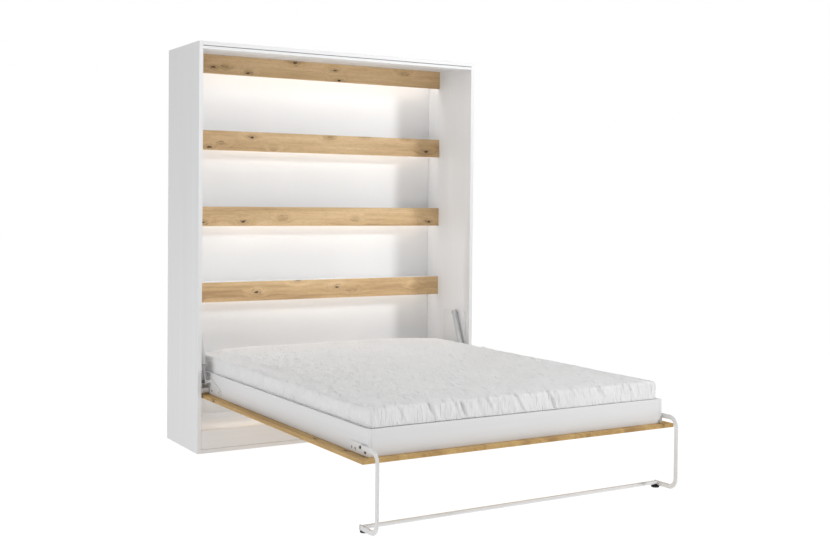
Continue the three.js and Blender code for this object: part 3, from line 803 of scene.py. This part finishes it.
def add_fittings():
    for name, side in (("left", -1), ("right", 1)):
        plate = abs(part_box(f"leg_bracket_{name}")[0 if side < 0 else 1].x)
        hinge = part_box("side_rail_right")[1].x + 0.0043
        for number, (y, z, slot_name) in enumerate(HINGE_SCREWS, 1):
            turned_piece(f"hinge_screw_{name}_{number}", side, (side * hinge, y, z),
                         dome_head(0.0058, 0.0030, 0.0022), slot_name, "bed")
        for number, (y, z) in enumerate(BRACKET_SCREWS, 1):
            turned_piece(f"bracket_screw_{name}_{number}", side, (side * plate, y, z),
                         FLUSH_HEAD, "dark_steel", "bed")
        turned_piece(f"lock_bolt_{name}", side, (side * plate, *LOCK_BOLT),
                     dome_head(0.0066, 0.0040, 0.0028), "dark_steel", "bed")
        # A black sheet in the lock's slot: painted shade.
        add_slot_shade_sheet(side, side * (plate + 0.0001), f"lock_slot_shade_{name}")
        rod_low, rod_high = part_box(f"strut_rod_{name}")
        foot_y, foot_z = rod_low.y + 0.013, rod_low.z + 0.0145
        edge = rod_high.x if side > 0 else -rod_low.x
        turned_piece(f"strut_foot_nut_{name}", side, (side * edge, foot_y, foot_z),
                     STRUT_NUT, "dark_steel", f"strut_rod_{name}")


add_fittings()


# ---------- floor and light ----------

WORLD_LIGHT = 0.17
FLOOR_GLOW = 1.0
SOFTBOX_DISTANCE = 6.5
# name: side from the cabinet's front towards +X and rise in degrees, size in metres, watts
SOFTBOXES = {
    "key": (34.4, 24, 0.8, 160),
    "left_fill": (-73, 14, 3.2, 94),
    "overhead": (10, 80, 4.0, 160),
}
LED_COLOUR = (0.95, 0.975, 1.0)
LED_POWER = 0.30
UNDER_BED_POWER = 1.3
NICHE_POWER = 1.05
NICHE_LAMP = (0, -0.215, 0.88)     # just behind the closed panel
NICHE_AIM = (0, 0.2, 0.88)
NICHE_SIZE = (1.66, 0.7)
UNDER_BED_Y = -0.16
UNDER_BED_AIM = (0, -0.10, 0.10)


def add_stage():
    """A wide pale floor, lit from within as a light table is, so shadows stay faint."""
    low, high = cad_box
    centre = (low + high) / 2
    bpy.ops.mesh.primitive_plane_add(size=80, location=(centre.x, centre.y, -0.0005))
    floor = bpy.context.object
    floor.name = "floor"
    s = Shader("floor", **{
        "Base Color": (0.08, 0.08, 0.08, 1), "Roughness": 0.9, "Specular IOR Level": 0.0,
        "Emission Color": (1, 1, 1, 1), "Emission Strength": FLOOR_GLOW})
    set_material(floor, s.material)


def area_light(name, place, aim, size, power, colour=(1, 1, 1), size_y=None):
    data = bpy.data.lights.new(name, "AREA")
    data.shape = "RECTANGLE"
    data.size = size
    data.size_y = size_y or size
    data.energy = power
    data.color = colour
    lamp = bpy.data.objects.new(name, data)
    lamp.location = place
    lamp.rotation_mode = "QUATERNION"
    lamp.rotation_quaternion = (Vector(aim) - Vector(place)).to_track_quat("-Z", "Y")
    bpy.context.scene.collection.objects.link(lamp)
    return lamp


def add_world():
    """Even white surroundings: the backdrop shows pure white, and lights a little less."""
    world = bpy.data.worlds.new("studio")
    world.use_nodes = True
    tree = world.node_tree
    background = tree.nodes["Background"]
    background.inputs["Color"].default_value = (1.0, 1.0, 1.0, 1)
    seen = tree.nodes.new("ShaderNodeLightPath").outputs["Is Camera Ray"]
    strength = tree.nodes.new("ShaderNodeMapRange")
    tree.links.new(seen, strength.inputs["Value"])
    strength.inputs["To Min"].default_value = WORLD_LIGHT
    strength.inputs["To Max"].default_value = 1.0
    tree.links.new(strength.outputs["Result"], background.inputs["Strength"])
    bpy.context.scene.world = world


def add_lights():
    aim = Vector((0, -0.4, 1.0))
    for name, (side, rise, size, power) in SOFTBOXES.items():
        side, rise = math.radians(side), math.radians(rise)
        direction = Vector((
            math.sin(side) * math.cos(rise), -math.cos(side) * math.cos(rise), math.sin(rise)))
        area_light(name, aim + SOFTBOX_DISTANCE * direction, aim, size, power)
    for number in range(1, 5):
        low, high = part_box(f"led_bar_{number}")
        middle = (low + high) / 2
        place = (middle.x, middle.y, low.z - 0.001)
        lamp = area_light(f"glow_{number}", place, (middle.x, middle.y, 0), high.x - low.x,
                          LED_POWER, LED_COLOUR, size_y=0.014)
        lamp.parent = frame["bodies"]["root"]
    low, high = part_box("front_panel")
    place = Vector((0, UNDER_BED_Y, low.z - 0.015))
    bounce = area_light("under_bed", place, UNDER_BED_AIM, high.x - low.x, UNDER_BED_POWER,
                        size_y=0.12)
    bounce.visible_camera = False
    niche = area_light("niche_fill", NICHE_LAMP, NICHE_AIM, NICHE_SIZE[0], NICHE_POWER,
                       LED_COLOUR, size_y=NICHE_SIZE[1])
    niche.visible_camera = False


add_stage()
add_world()
add_lights()
bpy.context.scene.view_settings.view_transform = "Standard"
